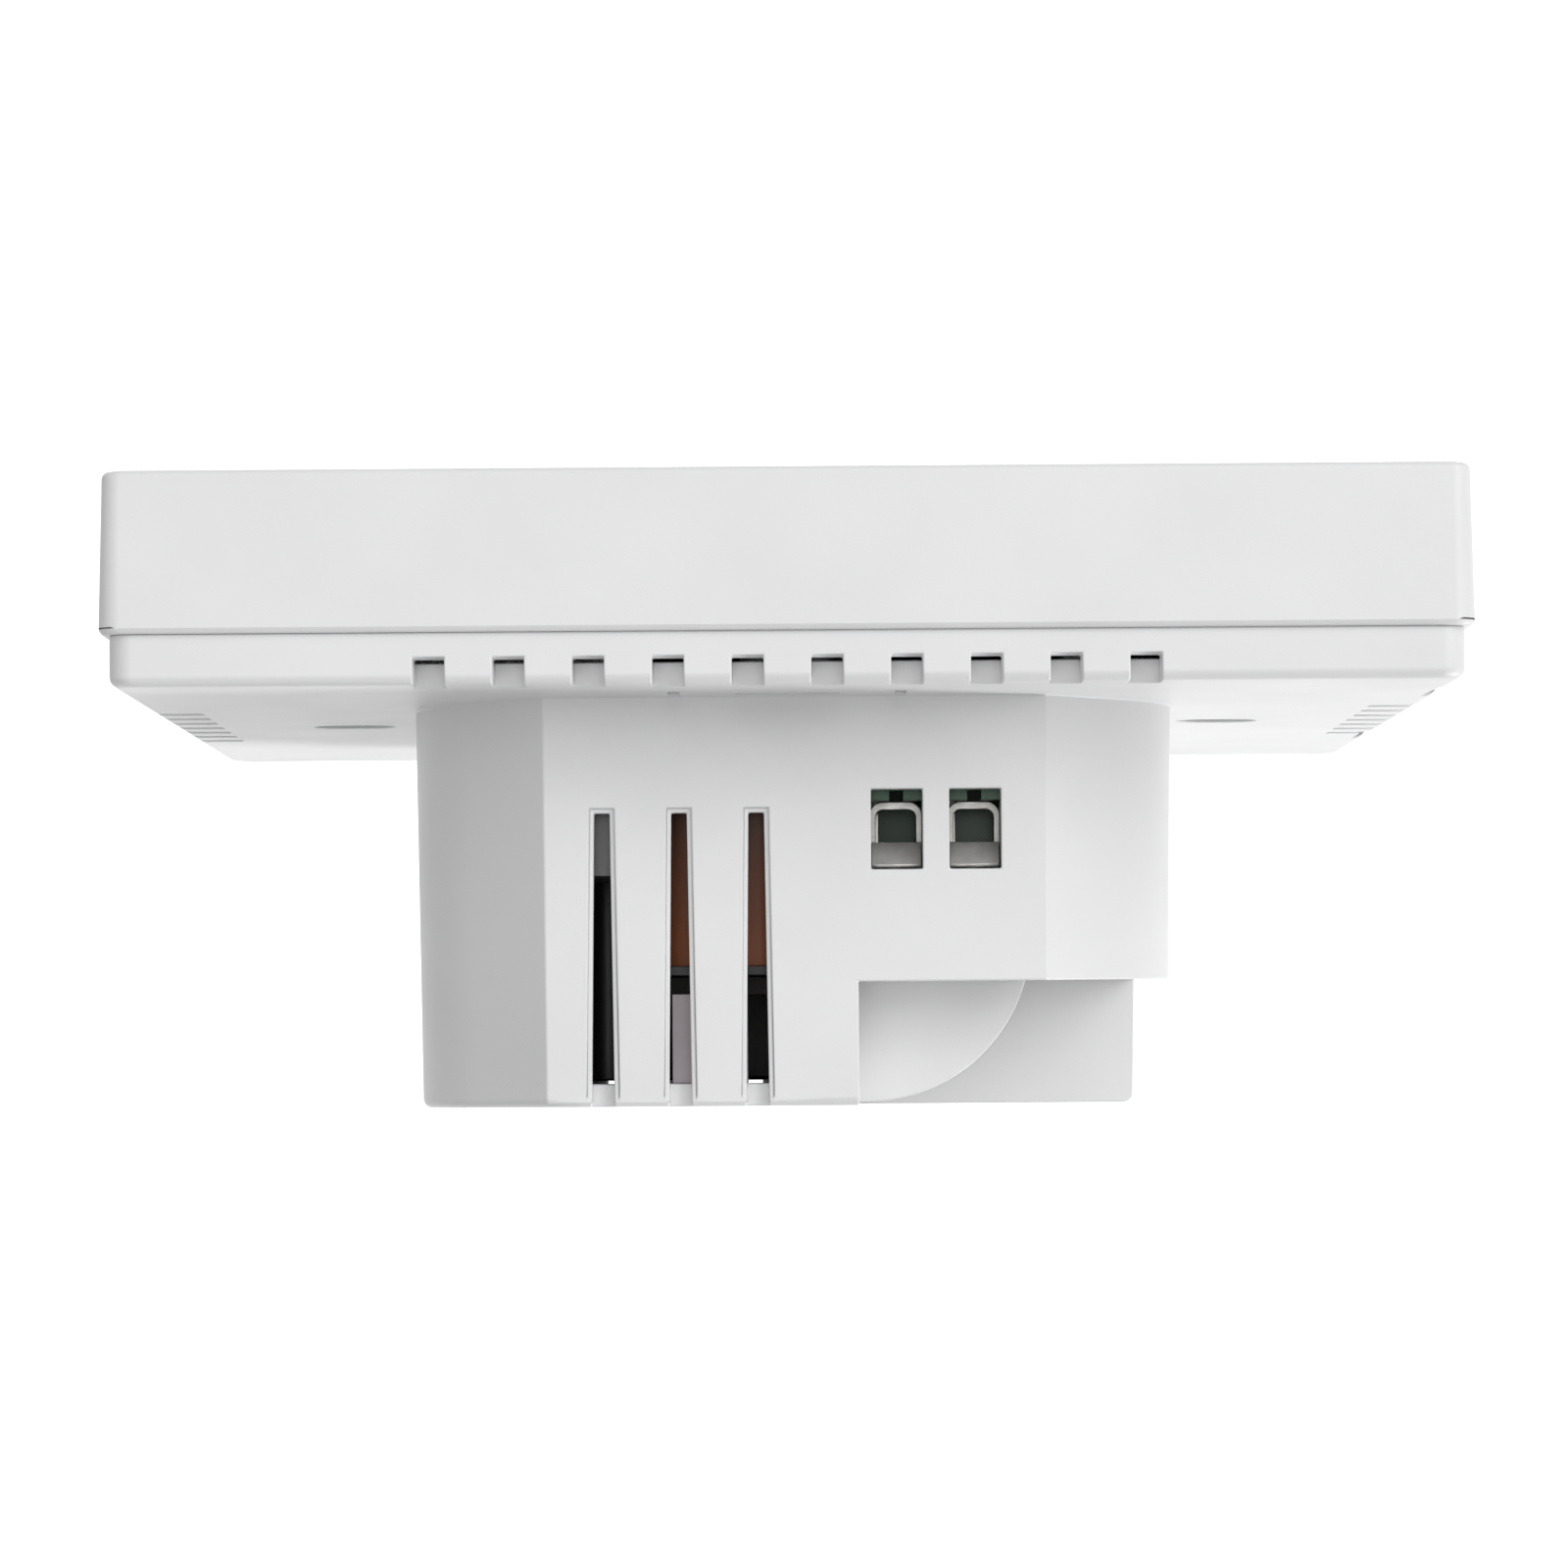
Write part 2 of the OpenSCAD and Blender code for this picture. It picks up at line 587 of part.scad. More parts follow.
// The fixed plate that a wire is clamped against, with a sloped lip at the entry and a leg to the board
module contact(i) color(tin) at_pole(i) {
    block([-1.1, plate_y[0], leg_z[0]], [1.1, plate_y[1], 2.1]);
    block([1, plate_y[0], leg_z[0]], [leg_x[1], plate_y[1], leg_z[1]]);
    block([leg_x[0], y_power_front - 0.9, leg_z[0]], [leg_x[1], plate_y[1], leg_z[1]]);
    rotate([90, 0, 90]) translate([0, 0, -1.6]) linear_extrude(3.2)
        polygon([[plate_y[0], 2], [plate_y[1], 2], [plate_y[1], 2.3], [11.1, 3.2], [11.1, 3.5], [10.9, 3.55], [plate_y[0], 2.55]]);
}

module sensor_contacts() for (i = [0, 1]) contact(i);
module mains_contacts() for (i = [2:5]) contact(i);

module clamp_screw(i) color(steel) at_pole(i) difference() {
    union() {
        rod(0, 0, 10.6, 14.4, 1.2);
        rod(0, 0, 14.3, 15.9, 1.65);
    }
    block([-2, 15.2, -0.3], [2, 17, 0.3]);
}

// The frame that a screw draws up against the contact plate, folded from a strip with rounded corners
module clamp_cage(i) color(tin) at_pole(i) difference() {
    translate([0, 0, -cage_l / 2]) linear_extrude(cage_l) difference() {
        translate([0, (cage_y[0] + cage_y[1]) / 2]) rounded(3.44, cage_y[1] - cage_y[0], 0.9);
        translate([0, (wire_gap_y[0] + wire_gap_y[1]) / 2]) rounded(2.64, wire_gap_y[1] - wire_gap_y[0], 0.5);
    }
    rod(0, 0, 12, 14, 1.26);
}

// ---------- nodes ----------

rear_housing();
inner_cover();
power_board();
power_board_screws();
transformer_core();
transformer_bobbin();
transformer_winding();
electrolytic_capacitor();
film_capacitor();
thermal_pad();
varistor();
fuse();
bridge_rectifier();
relay_base();
relay_case();
relay_coil();
relay_yoke();
relay_contacts();
relay_armature();
sensor_terminal_block();
mains_terminal_block();
sensor_contacts();
mains_contacts();
board_socket();
for (i = [0:5]) {
    clamp_screw(i);
    clamp_cage(i);
}
front_cover();
display_window();
lcd_panel();
lcd_holder();
zebra_strips();
display_board();
display_board_screws();
mcu_chip();
radio_module();
radio_shield();
buzzer();
room_sensor();
pin_header();
header_pins();
tact_switches();
for (i = [0:3]) {
    key(i);
    plunger(i);
}
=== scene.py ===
"""Looks for the wall thermostat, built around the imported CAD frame.

The row frame has +X right and +Z up as seen from the room, and +Y into the wall. Lengths are in metres.
"""

import math

import bmesh
import bpy
from mathutils import Matrix, Vector


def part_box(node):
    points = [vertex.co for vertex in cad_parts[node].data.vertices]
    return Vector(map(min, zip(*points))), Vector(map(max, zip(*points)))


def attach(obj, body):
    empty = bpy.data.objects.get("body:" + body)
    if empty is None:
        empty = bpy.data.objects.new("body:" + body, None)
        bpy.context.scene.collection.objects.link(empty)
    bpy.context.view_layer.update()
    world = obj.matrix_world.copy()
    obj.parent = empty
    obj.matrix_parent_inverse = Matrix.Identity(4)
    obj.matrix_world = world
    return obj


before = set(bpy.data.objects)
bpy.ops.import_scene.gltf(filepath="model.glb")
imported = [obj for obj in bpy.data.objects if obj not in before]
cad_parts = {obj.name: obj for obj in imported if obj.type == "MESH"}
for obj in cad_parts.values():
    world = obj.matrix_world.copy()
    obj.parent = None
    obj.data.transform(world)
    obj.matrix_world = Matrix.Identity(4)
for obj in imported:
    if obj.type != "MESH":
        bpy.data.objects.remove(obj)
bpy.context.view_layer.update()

MM = 0.001
POLES = range(1, 7)
KEYS = ("power", "menu", "down", "up")


# ---------- materials ----------


def new_material(name):
    """A material with its shader, and a shortcut that adds and links nodes."""
    material = bpy.data.materials.new(name)
    material.use_nodes = True
    return material, material.node_tree, material.node_tree.nodes["Principled BSDF"]


def set_sockets(shader, **values):
    for key, value in values.items():
        shader.inputs[key.replace("_", " ")].default_value = value


def rgba(colour):
    return (*colour, 1.0)


def coordinates(tree, stretch=(1, 1, 1)):
    """Object coordinates in metres, scaled along each axis."""
    source = tree.nodes.new("ShaderNodeTexCoord")
    mapping = tree.nodes.new("ShaderNodeMapping")
    mapping.inputs["Scale"].default_value = stretch
    tree.links.new(source.outputs["Object"], mapping.inputs["Vector"])
    return mapping.outputs["Vector"]


def noise(tree, vector, size, detail=2.0, roughness=0.5):
    """Noise whose features are about size metres across."""
    node = tree.nodes.new("ShaderNodeTexNoise")
    node.inputs["Scale"].default_value = 1 / size
    node.inputs["Detail"].default_value = detail
    node.inputs["Roughness"].default_value = roughness
    tree.links.new(vector, node.inputs["Vector"])
    return node.outputs["Fac"]


def spread(tree, factor, low, high, start=0.3, end=0.7):
    """Maps a factor onto the range from low to high."""
    node = tree.nodes.new("ShaderNodeMapRange")
    node.inputs["From Min"].default_value = start
    node.inputs["From Max"].default_value = end
    node.inputs["To Min"].default_value = low
    node.inputs["To Max"].default_value = high
    tree.links.new(factor, node.inputs["Value"])
    return node.outputs["Result"]


def tint(tree, factor, first, second):
    """Blends two colours by a factor."""
    node = tree.nodes.new("ShaderNodeMix")
    node.data_type = "RGBA"
    node.inputs["A"].default_value = rgba(first)
    node.inputs["B"].default_value = rgba(second)
    tree.links.new(factor, node.inputs["Factor"])
    return node.outputs["Result"]


def bump(tree, shader, height, depth, strength=1.0):
    node = tree.nodes.new("ShaderNodeBump")
    node.inputs["Distance"].default_value = depth
    node.inputs["Strength"].default_value = strength
    tree.links.new(height, node.inputs["Height"])
    tree.links.new(node.outputs["Normal"], shader.inputs["Normal"])


def darker(colour, share):
    return tuple(c * share for c in colour)


def plastic(name, colour, rough=0.4, grain=0.25 * MM, depth=0.004 * MM, change=0.97, specular=0.5, glow=0.0):
    """Moulded plastic: a fine even grain, cloudy changes of gloss, and a faint change of tone."""
    material, tree, shader = new_material(name)
    where = coordinates(tree)
    clouds = noise(tree, where, 9 * MM, 3)
    tone = tint(tree, spread(tree, clouds, 0, 1), colour, darker(colour, change))
    tree.links.new(tone, shader.inputs["Base Color"])
    tree.links.new(spread(tree, clouds, rough * 0.92, rough * 1.1), shader.inputs["Roughness"])
    bump(tree, shader, noise(tree, where, grain, 3, 0.6), depth)
    set_sockets(shader, Specular_IOR_Level=specular)
    if glow:
        set_sockets(shader, Subsurface_Weight=glow, Subsurface_Radius=(1, 0.9, 0.8))
        set_sockets(shader, Subsurface_Scale=0.6 * MM)
    return material


def metal(name, colour, rough=0.3, stretch=(1, 8, 1), depth=0.003 * MM):
    """Rolled or drawn metal: fine lines across one axis and patches of duller plating."""
    material, tree, shader = new_material(name)
    lines = noise(tree, coordinates(tree, stretch), 0.5 * MM, 4, 0.65)
    patches = noise(tree, coordinates(tree), 1.6 * MM, 3)
    tone = tint(tree, spread(tree, patches, 0, 1), colour, darker(colour, 0.82))
    tree.links.new(tone, shader.inputs["Base Color"])
    tree.links.new(spread(tree, lines, rough * 0.75, rough * 1.3), shader.inputs["Roughness"])
    bump(tree, shader, lines, depth)
    set_sockets(shader, Metallic=1.0)
    return material


# Wave texture scale that gives one band a metre, which a pitch then divides
WAVE_SCALE = 0.31416
# Spacing of the tracks on the circuit boards, and size of the areas where they keep one direction
TRACK_PITCH = 1.1 * MM
TRACK_AREA = 7 * MM


def circuit_board(name, mask, copper):
    """Solder mask with groups of tracks showing through it as slightly raised, paler lines."""
    material, tree, shader = new_material(name)
    where = coordinates(tree)
    cells = tree.nodes.new("ShaderNodeTexVoronoi")
    cells.distance = "CHEBYCHEV"
    cells.inputs["Scale"].default_value = 1 / TRACK_AREA
    tree.links.new(where, cells.inputs["Vector"])
    pick = tree.nodes.new("ShaderNodeSeparateColor")
    tree.links.new(cells.outputs["Color"], pick.inputs["Color"])
    runs = tree.nodes.new("ShaderNodeMix")
    # Half of the areas have their tracks along one axis, half along the other, and two in five have none
    tree.links.new(spread(tree, pick.outputs["Red"], 0, 1, 0.49, 0.51), runs.inputs["Factor"])
    for axis, side in (("X", "A"), ("Z", "B")):
        lines = tree.nodes.new("ShaderNodeTexWave")
        lines.bands_direction = axis
        lines.inputs["Scale"].default_value = WAVE_SCALE / TRACK_PITCH
        tree.links.new(where, lines.inputs["Vector"])
        tree.links.new(lines.outputs["Fac"], runs.inputs[side])
    tracks = tree.nodes.new("ShaderNodeMath")
    tracks.operation = "MULTIPLY"
    tree.links.new(spread(tree, runs.outputs["Result"], 0, 1, 0.72, 0.82), tracks.inputs[0])
    tree.links.new(spread(tree, pick.outputs["Green"], 0, 1, 0.39, 0.41), tracks.inputs[1])
    cloth = noise(tree, where, 0.7 * MM, 2)
    tree.links.new(tint(tree, tracks.outputs["Value"], mask, copper), shader.inputs["Base Color"])
    tree.links.new(spread(tree, cloth, 0.22, 0.34), shader.inputs["Roughness"])
    bump(tree, shader, tracks.outputs["Value"], 0.02 * MM)
    set_sockets(shader, Coat_Weight=0.3, Coat_Roughness=0.15)
    return material


def banded(name, first, second, axis, pitch, rough=0.35):
    """Bands along one axis, as on wound tape, laminations or enamelled wire."""
    material, tree, shader = new_material(name)
    bands = tree.nodes.new("ShaderNodeTexWave")
    bands.wave_type = "BANDS"
    bands.bands_direction = axis
    bands.inputs["Scale"].default_value = WAVE_SCALE / pitch
    bands.inputs["Distortion"].default_value = 0.6
    bands.inputs["Detail"].default_value = 2
    tree.links.new(coordinates(tree), bands.inputs["Vector"])
    tree.links.new(tint(tree, bands.outputs["Fac"], first, second), shader.inputs["Base Color"])
    tree.links.new(spread(tree, bands.outputs["Fac"], rough, rough * 1.5, 0, 1), shader.inputs["Roughness"])
    bump(tree, shader, bands.outputs["Fac"], 0.03 * MM)
    return material


def winding_tape(name, near, far):
    """Brown tape over copper, drawn darker towards the board as painted shade: far is its shaded colour near
    the board, and near its colour at the other end.
    """
    material, tree, shader = new_material(name)
    where = coordinates(tree)
    axes = tree.nodes.new("ShaderNodeSeparateXYZ")
    tree.links.new(where, axes.inputs["Vector"])
    cloud = noise(tree, coordinates(tree, (1, 0.4, 1)), 4 * MM, 2)
    wave = tree.nodes.new("ShaderNodeMath")
    wave.operation = "MULTIPLY_ADD"
    wave.inputs[1].default_value = 3 * MM
    tree.links.new(cloud, wave.inputs[0])
    tree.links.new(axes.outputs["Y"], wave.inputs[2])
    # Painted shade: the tape's colour darkens from 18 mm down to 8.5 mm, towards the board.
    along = spread(tree, wave.outputs["Value"], 0, 1, 8.5 * MM, 18 * MM)
    tree.links.new(tint(tree, along, far, near), shader.inputs["Base Color"])
    tree.links.new(spread(tree, cloud, 0.38, 0.55), shader.inputs["Roughness"])
    bump(tree, shader, noise(tree, coordinates(tree, (0.2, 1, 0.2)), 0.7 * MM, 3), 0.01 * MM)
    set_sockets(shader, Specular_IOR_Level=0.2)
    return material


def clear(name, colour, ior):
    """Clear acrylic or glass, with faint smears in its gloss."""
    material, tree, shader = new_material(name)
    smears = noise(tree, coordinates(tree), 14 * MM, 4)
    tree.links.new(spread(tree, smears, 0.018, 0.054), shader.inputs["Roughness"])
    tree.links.new(tint(tree, smears, colour, darker(colour, 0.97)), shader.inputs["Base Color"])
    set_sockets(shader, IOR=ior, Transmission_Weight=1.0)
    return material


WHITE = (0.80, 0.80, 0.805)
white_plastic = plastic("white_plastic", WHITE, rough=0.42, glow=0.06)
key_plastic = plastic("key_plastic", (0.76, 0.76, 0.77), rough=0.35)
inner_plastic = plastic("inner_plastic", (0.72, 0.72, 0.71), rough=0.5)
diffuser = plastic("diffuser", (0.85, 0.86, 0.86), rough=0.3, glow=0.4)
black_plastic = plastic("black_plastic", (0.012, 0.012, 0.013), rough=0.45, change=0.7)
relay_plastic = plastic("relay_plastic", (0.016, 0.016, 0.017), rough=0.3, change=0.8)
green_plastic = plastic("green_plastic", (0.022, 0.075, 0.038), rough=0.4, change=0.85)
film_case = plastic("film_case", (0.15, 0.15, 0.152), rough=0.35, change=0.9)
pad_silicone = plastic("pad_silicone", (0.58, 0.52, 0.55), rough=0.6, change=0.9)
sleeve = plastic("sleeve", (0.014, 0.014, 0.017), rough=0.28, change=0.9)
varistor_blue = plastic("varistor_blue", (0.01, 0.045, 0.19), rough=0.25, change=0.85)
sensor_black = plastic("sensor_black", (0.02, 0.015, 0.012), rough=0.3)
elastomer = banded("elastomer", (0.02, 0.02, 0.022), (0.2, 0.2, 0.21), "X", 0.2 * MM, 0.6)
tinned_metal = metal("tinned_metal", (0.62, 0.60, 0.57), 0.32)
zinc_steel = metal("zinc_steel", (0.52, 0.52, 0.53), 0.3)
bright_shield = metal("bright_shield", (0.66, 0.65, 0.63), 0.28, (1, 1, 10))
cage_metal = metal("cage_metal", (0.42, 0.415, 0.4), 0.36, depth=0.01 * MM)
contact_metal = metal("contact_metal", (0.86, 0.83, 0.81), 0.36, depth=0.014 * MM)
gold = metal("gold", (0.72, 0.5, 0.17), 0.25)
bronze = metal("bronze", (0.6, 0.36, 0.15), 0.3)
core_steel = banded("core_steel", (0.02, 0.018, 0.016), (0.05, 0.045, 0.04), "Z", 0.5 * MM, 0.5)
# The second colour is painted shade on the tape near the board.
tape = winding_tape("tape", (0.27, 0.095, 0.045), (0.12, 0.062, 0.046))
enamel_wire = banded("enamel_wire", (0.38, 0.12, 0.04), (0.12, 0.03, 0.01), "Y", 0.2 * MM, 0.25)
green_board = circuit_board("green_board", (0.012, 0.075, 0.03), (0.022, 0.115, 0.048))
blue_board = circuit_board("blue_board", (0.008, 0.03, 0.09), (0.02, 0.06, 0.16))
window_glass = clear("window_glass", (0.93, 0.95, 0.96), 1.49)
lcd_glass = plastic("lcd_glass", (0.42, 0.5, 0.46), rough=0.12, depth=0.0005 * MM)
fuse_glass = clear("fuse_glass", (0.9, 0.9, 0.88), 1.5)
mask_ink = plastic("mask_ink", (0.01, 0.01, 0.011), rough=0.25)
segment_ink = plastic("segment_ink", (0.018, 0.022, 0.024), rough=0.3)
ceramic = plastic("ceramic", (0.3, 0.2, 0.12), rough=0.4)
print_ink = plastic("print_ink", (0.22, 0.23, 0.24), rough=0.5)

LOOKS = {
    "rear_housing": white_plastic,
    "inner_cover": inner_plastic,
    "power_board": green_board,
    "power_board_screws": zinc_steel,
    "transformer_core": core_steel,
    "transformer_bobbin": black_plastic,
    "transformer_winding": tape,
    "electrolytic_capacitor": sleeve,
    "film_capacitor": film_case,
    "thermal_pad": pad_silicone,
    "varistor": varistor_blue,
    "fuse": fuse_glass,
    "bridge_rectifier": black_plastic,
    "relay_base": relay_plastic,
    "relay_case": relay_plastic,
    "relay_coil": enamel_wire,
    "relay_yoke": zinc_steel,
    "relay_contacts": bronze,
    "relay_armature": zinc_steel,
    "sensor_terminal_block": green_plastic,
    "mains_terminal_block": green_plastic,
    "sensor_contacts": contact_metal,
    "mains_contacts": contact_metal,
    "board_socket": black_plastic,
    "front_cover": white_plastic,
    "display_window": window_glass,
    "lcd_panel": lcd_glass,
    "lcd_holder": diffuser,
    "zebra_strips": elastomer,
    "display_board": green_board,
    "display_board_screws": zinc_steel,
    "mcu_chip": black_plastic,
    "radio_module": blue_board,
    "radio_shield": bright_shield,
    "buzzer": black_plastic,
    "room_sensor": sensor_black,
    "pin_header": black_plastic,
    "header_pins": gold,
    "tact_switches": black_plastic,
}
LOOKS.update({f"clamp_screw_{i}": zinc_steel for i in POLES})
LOOKS.update({f"clamp_cage_{i}": cage_metal for i in POLES})
LOOKS.update({f"key_{k}": key_plastic for k in KEYS})
LOOKS.update({f"plunger_{k}": black_plastic for k in KEYS})


# ---------- edges of the CAD nodes ----------

# Radius of the rounding that a modifier adds to each node's edges
ROUNDING = {
    "rear_housing": 0.12 * MM,
    "front_cover": 0.12 * MM,
    "inner_cover": 0.12 * MM,
    "relay_case": 0.25 * MM,
}
SMALL_ROUNDING = 0.06 * MM
# Nodes whose tiniest facets would otherwise hold back the rounding of every edge
FREE_ROUNDING = ("rear_housing", "front_cover", "relay_case")
SMOOTH_BELOW = math.radians(32)


def dress(name):
    """Gives a CAD node its material and soft edges."""
    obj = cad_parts[name]
    obj.data.materials.clear()
    obj.data.materials.append(LOOKS[name])
    for face in obj.data.polygons:
        face.use_smooth = True
    weld = obj.modifiers.new("weld", "WELD")
    weld.merge_threshold = 0.001 * MM
    flatten = obj.modifiers.new("flatten", "DECIMATE")
    flatten.decimate_type = "DISSOLVE"
    flatten.angle_limit = math.radians(0.6)
    rounding = obj.modifiers.new("rounding", "BEVEL")
    rounding.width = ROUNDING.get(name, SMALL_ROUNDING)
    rounding.segments = 2
    rounding.limit_method = "ANGLE"
    rounding.angle_limit = SMOOTH_BELOW
    rounding.use_clamp_overlap = name not in FREE_ROUNDING
    rounding.harden_normals = False
    normals = obj.modifiers.new("normals", "WEIGHTED_NORMAL")
    normals.keep_sharp = True
    normals.weight = 100


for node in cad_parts:
    dress(node)


# ---------- printed marks and small parts ----------


def prisms(name, outlines, y_from, y_to, material, body):
    """One piece made of straight prisms: each outline lists its (x, z) corners in millimetres, in order."""
    points = []
    faces = []
    for outline in outlines:
        first, count = len(points), len(outline)
        points += [(x * MM, y_from * MM, z * MM) for x, z in outline]
        points += [(x * MM, y_to * MM, z * MM) for x, z in outline]
        faces.append([first + i for i in range(count)])
        faces.append([first + count + i for i in reversed(range(count))])
        for i in range(count):
            after = (i + 1) % count
            faces.append([first + after, first + i, first + count + i, first + count + after])
    mesh = bpy.data.meshes.new(name)
    mesh.from_pydata(points, [], faces)
    build = bmesh.new()
    build.from_mesh(mesh)
    bmesh.ops.recalc_face_normals(build, faces=build.faces)
    build.to_mesh(mesh)
    build.free()
    piece = bpy.data.objects.new(name, mesh)
    bpy.context.scene.collection.objects.link(piece)
    piece.data.materials.append(material)
    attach(piece, body)
    return piece


def box_outline(x, z, width, height):
    corners = ((-1, -1), (1, -1), (1, 1), (-1, 1))
    return [(x + side * width / 2, z + end * height / 2) for side, end in corners]


def stroke(x0, z0, x1, z1, thick):
    """A bar with pointed ends, as in a segment display."""
    length = math.hypot(x1 - x0, z1 - z0)
    ux, uz = (x1 - x0) / length, (z1 - z0) / length
    half, gap = thick / 2, thick * 0.08
    start, end = gap, length - gap
    marks = [(start, 0), (start + half, half), (end - half, half)]
    marks += [(end, 0), (end - half, -half), (start + half, -half)]
    return [(x0 + ux * a - uz * b, z0 + uz * a + ux * b) for a, b in marks]


def ring_parts(x, z, outer, inner, start, end, steps):
    """A ring or part of one as short blocks, with its angles in degrees from +X towards +Z."""
    angles = [math.radians(start + (end - start) * i / steps) for i in range(steps + 1)]
    parts = []
    for a0, a1 in zip(angles, angles[1:]):
        corners = ((inner, a0), (outer, a0), (outer, a1), (inner, a1))
        parts.append([(x + r * math.cos(a), z + r * math.sin(a)) for r, a in corners])
    return parts


# Segments lit for each digit that the display shows
SEGMENTS = {"0": "abcdef", "1": "bc", "2": "abged", "4": "fgbc", "5": "afgcd", "7": "abc"}


def digit(char, x, z, width, height, thick):
    """Segment strokes of a digit whose lower left corner is at x, z."""
    left, right, low, middle, top = x, x + width, z, z + height / 2, z + height
    ends = {
        "a": (left, top, right, top),
        "b": (right, middle, right, top),
        "c": (right, low, right, middle),
        "d": (left, low, right, low),
        "e": (left, low, left, middle),
        "f": (left, middle, left, top),
        "g": (left, middle, right, middle),
    }
    return [stroke(*ends[s], thick) for s in SEGMENTS[char]]


def number(text, x, z, width, height, thick, step):
    """Digits in a row. A point or colon takes the narrow place after its digit."""
    marks = []
    for char in text:
        between = x - step + width + (step - width) / 2
        if char == ".":
            marks.append(box_outline(between, z, thick, thick))
        elif char == ":":
            marks += [box_outline(between, z + height * share, thick, thick) for share in (0.3, 0.7)]
        else:
            marks += digit(char, x, z, width, height, thick)
            x += step
    return marks


def box_of(name):
    low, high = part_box(name)
    return [c / MM for c in low], [c / MM for c in high]


window_low, window_high = box_of("display_window")
lcd_front = box_of("lcd_panel")[0][1]
WINDOW_Z = (window_low[2] + window_high[2]) / 2
# Thickness of printed marks, how far they reach into what they lie on, and the clear part of the window
MARK = 0.012
SINK = 0.001
VIEW_SIZE = (49.0, 31.0)


def window_mask():
    """Black ink round the display, just inside the back of the window."""
    inset = 0.02
    edge = 0.4
    back = window_high[1] - inset
    width = window_high[0] - window_low[0] - edge
    height = window_high[2] - window_low[2] - edge
    view_w, view_h = VIEW_SIZE
    side = (width - view_w) / 2
    band = (height - view_h) / 2
    parts = [box_outline(s * (view_w + side) / 2, WINDOW_Z, side, height) for s in (-1, 1)]
    parts += [box_outline(0, WINDOW_Z + s * (view_h + band) / 2, view_w, band) for s in (-1, 1)]
    prisms("window_mask", parts, back - MARK, back, mask_ink, "front")


def lcd_marks():
    """What the display shows: the room temperature, the time, the day and a heating flame."""
    marks = number("21.5", -15.5, WINDOW_Z - 8.5, 7.6, 14.5, 1.7, 11.4)
    marks += ring_parts(19.3, WINDOW_Z + 5, 1.25, 0.75, 0, 360, 16)
    marks += ring_parts(20.6, WINDOW_Z + 1.4, 2.2, 1.5, 50, 310, 12)
    marks += number("17:40", 9.6, WINDOW_Z + 9.3, 1.9, 3.6, 0.5, 3.1)
    marks += [box_outline(-21.5 + 2.6 * i, WINDOW_Z + 12.6, 1.7, 0.55) for i in range(7)]
    marks.append(box_outline(-21.5 + 2.6 * 2, WINDOW_Z + 11.2, 1.7, 1.2))
    flame = [(0, 3.2), (0.75, 1.9), (1.5, 0.7), (1.35, -0.6), (0.6, -1.4)]
    flame += [(-0.6, -1.4), (-1.35, -0.6), (-1.1, 0.5), (-0.5, 1.2), (-0.3, 2.2)]
    marks.append([(-20.4 + x, WINDOW_Z - 6.5 + z) for x, z in flame])
    for z in (WINDOW_Z - 9.6, WINDOW_Z - 10.7):
        marks.append(stroke(-22.3, z, -18.5, z, 0.45))
    prisms("lcd_marks", marks, lcd_front - MARK, lcd_front + SINK, segment_ink, "front")


def key_marks():
    """Plain symbols on the keys: on and off, menu, down and up."""
    proud, depth = 0.006, 0.02
    shapes = {
        "power": ring_parts(0, 0, 1.5, 1.15, 120, 420, 20) + [box_outline(0, 1.05, 0.35, 1.5)],
        "menu": [box_outline(0, z, 2.8, 0.4) for z in (-1, 0, 1)],
        "down": [[(-1.5, 0.8), (0, -1.1), (1.5, 0.8)]],
        "up": [[(-1.5, -0.8), (1.5, -0.8), (0, 1.1)]],
    }
    for key, shape in shapes.items():
        low, high = box_of(f"key_{key}")
        at_x, at_z = (low[0] + high[0]) / 2, (low[2] + high[2]) / 2
        outlines = [[(at_x + x, at_z + z) for x, z in outline] for outline in shape]
        name, body = f"key_{key}_mark", f"key_{key}_body"
        prisms(name, outlines, low[1] - proud, low[1] + depth, print_ink, body)


# Chips on the back of the display board: x, z, length along X, length along Z, height, in millimetres
CHIPS = [
    (-27, 14, 2, 1.25, 0.55), (-27, 17, 2, 1.25, 0.55), (-27, 20, 2, 1.25, 0.55),
    (-27, 23, 2, 1.25, 0.9), (-20.5, 29, 1.25, 2, 0.55), (-17.5, 29, 1.25, 2, 0.55),
    (-14.5, 29, 1.25, 2, 0.9), (-11.5, 29, 1.25, 2, 0.55), (-8.5, 29, 1.25, 2, 0.55),
    (-3, 24, 2, 1.25, 0.55), (-3, 21, 2, 1.25, 0.55), (-3, 18, 2, 1.25, 0.9),
    (-3, 15, 2, 1.25, 0.55), (4, 30, 3.2, 1.6, 0.6), (4, 26, 3.2, 1.6, 1.3), (4, 10, 3.2, 2.5, 1.6),
    (-12, 8, 1.25, 2, 0.55), (-9, 8, 1.25, 2, 0.55), (-15, 8, 1.25, 2, 0.55),
    (24, 5, 2, 1.25, 0.55), (24, 2, 2, 1.25, 0.55), (24, -1, 2, 1.25, 0.55),
    (12, -6, 1.25, 2, 0.55), (9, -6, 1.25, 2, 0.55), (15, -6, 1.25, 2, 0.9),
    (22, -14, 2, 1.25, 0.55), (14, -22, 1.25, 2, 0.55), (11.5, -22, 1.25, 2, 0.55),
    (-14, -26, 2, 1.25, 0.55), (-14, -23, 2, 1.25, 0.55), (-27, 2, 4.4, 3.6, 1.7),
    (-27, -6, 3.2, 1.6, 1.3),
]


# Tallest chip with a black body: taller ones are ceramic
LOW_CHIP = 0.6


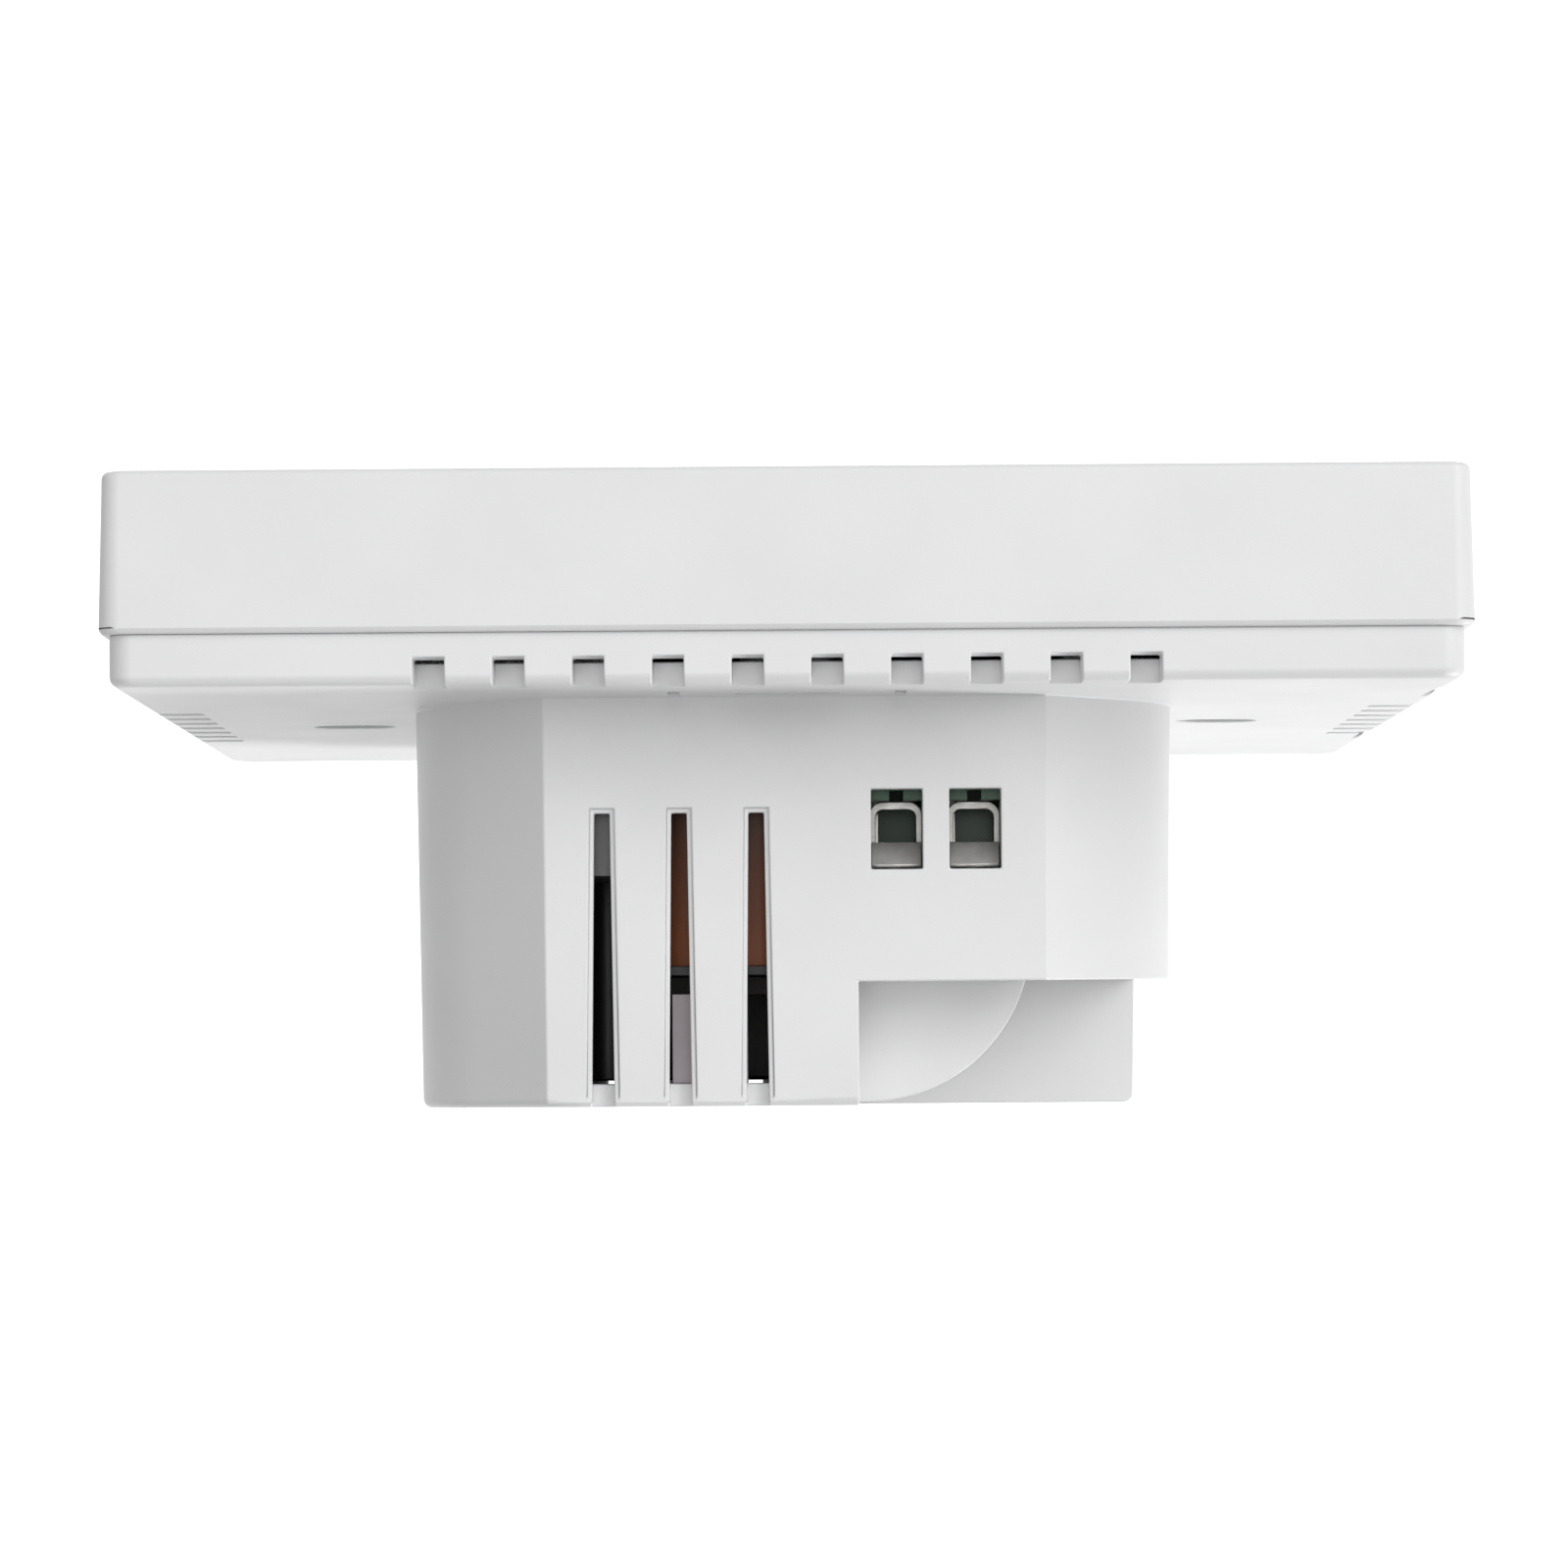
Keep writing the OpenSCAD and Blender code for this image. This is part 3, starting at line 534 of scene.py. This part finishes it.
def chips():
    """Small parts on the back of the display board, gathered by height, with tinned ends."""
    end_share, end_proud = 0.22, 0.02
    back = box_of("display_board")[1][1]
    bodies, ends = {}, {}
    for x, z, long_x, long_z, height in CHIPS:
        along_x = long_x > long_z
        cap = end_share * max(long_x, long_z)
        inner = (long_x - 2 * cap, long_z) if along_x else (long_x, long_z - 2 * cap)
        bodies.setdefault(height, []).append(box_outline(x, z, *inner))
        for side in (-1, 1):
            if along_x:
                end = box_outline(x + side * (long_x - cap) / 2, z, cap, long_z)
            else:
                end = box_outline(x, z + side * (long_z - cap) / 2, long_x, cap)
            ends.setdefault(height, []).append(end)
    for count, height in enumerate(sorted(bodies), 1):
        look = ceramic if height > LOW_CHIP else black_plastic
        top = back + height
        prisms(f"chip_bodies_{count}", bodies[height], back, top, look, "front")
        top += end_proud
        prisms(f"chip_ends_{count}", ends[height], back, top, tinned_metal, "front")


window_mask()
lcd_marks()
key_marks()
chips()


# ---------- camera, lights and stage ----------

CAMERA_AT = Vector((1.44, 25.59, 415.6)) * MM
CAMERA_TILT = math.radians(2.95)
CAMERA_TURN = math.radians(0.18)
CAMERA_ROLL = math.radians(0.425)
CAMERA_LENS = 137.1


def make_camera():
    """Looks down past the thermostat's top side, with the room side up in the picture."""
    data = bpy.data.cameras.new("camera")
    data.lens = CAMERA_LENS
    data.sensor_width = 36
    data.clip_start = 0.01
    data.clip_end = 20
    camera = bpy.data.objects.new("camera", data)
    upright = Matrix(((-1, 0, 0), (0, -1, 0), (0, 0, 1))).to_4x4()
    tilt = Matrix.Rotation(CAMERA_TILT, 4, "X")
    turn = Matrix.Rotation(-CAMERA_TURN, 4, "Y")
    roll = Matrix.Rotation(-CAMERA_ROLL, 4, "Z")
    camera.matrix_world = Matrix.Translation(CAMERA_AT) @ upright @ turn @ tilt @ roll
    bpy.context.scene.collection.objects.link(camera)
    bpy.context.scene.camera = camera


def area_light(name, at, size, power, target=(0, 0, 0)):
    data = bpy.data.lights.new(name, "AREA")
    data.shape = "SQUARE"
    data.size = size
    data.energy = power
    light = bpy.data.objects.new(name, data)
    light.location = at
    light.rotation_euler = (Vector(target) - Vector(at)).to_track_quat("-Z", "Y").to_euler()
    bpy.context.scene.collection.objects.link(light)


# Light from all round, and how much of it is left on the side at +X
WORLD_LIGHT = 0.49
WORLD_FADE = 0.74
# The floor: half its side, its height, its glow below the part, and how much of that is left far away
FLOOR_HALF = 3.0
FLOOR_Z = -0.6
FLOOR_GLOW = 0.52
FLOOR_FADE = 0.1


def make_stage():
    """A pale floor well below the part, and an even pale surround."""
    mesh = bpy.data.meshes.new("floor")
    corners = [(x * FLOOR_HALF, y * FLOOR_HALF, 0) for x, y in ((-1, -1), (1, -1), (1, 1), (-1, 1))]
    mesh.from_pydata(corners, [], [(0, 1, 2, 3)])
    floor = bpy.data.objects.new("floor", mesh)
    floor.location.z = FLOOR_Z
    bpy.context.scene.collection.objects.link(floor)
    material, tree, shader = new_material("floor_white")
    set_sockets(shader, Base_Color=(0.9, 0.9, 0.9, 1), Roughness=0.9)
    set_sockets(shader, Emission_Color=(1, 1, 1, 1))
    distance = tree.nodes.new("ShaderNodeVectorMath")
    distance.operation = "LENGTH"
    tree.links.new(coordinates(tree), distance.inputs[0])
    glow = spread(tree, distance.outputs["Value"], FLOOR_GLOW, FLOOR_GLOW * FLOOR_FADE, 0.2, 0.8)
    tree.links.new(glow, shader.inputs["Emission Strength"])
    floor.data.materials.append(material)
    world = bpy.data.worlds.new("world")
    world.use_nodes = True
    tree = world.node_tree
    tree.nodes["Background"].inputs["Color"].default_value = (1, 1, 1, 1)
    axes = tree.nodes.new("ShaderNodeSeparateXYZ")
    tree.links.new(tree.nodes.new("ShaderNodeTexCoord").outputs["Generated"], axes.inputs["Vector"])
    fade = spread(tree, axes.outputs["X"], WORLD_LIGHT, WORLD_LIGHT * WORLD_FADE, 0.0, 0.9)
    tree.links.new(fade, tree.nodes["Background"].inputs["Strength"])
    bpy.context.scene.world = world
    bpy.context.scene.view_settings.view_transform = "Standard"


make_camera()
make_stage()
area_light("key", (-0.68, -0.495, 0.99), 0.9, 8.4)
area_light("low", (-0.53, 0.68, -0.28), 0.3, 3.7)
area_light("front", (0.06, 0.0, 1.2), 0.6, 2.2)
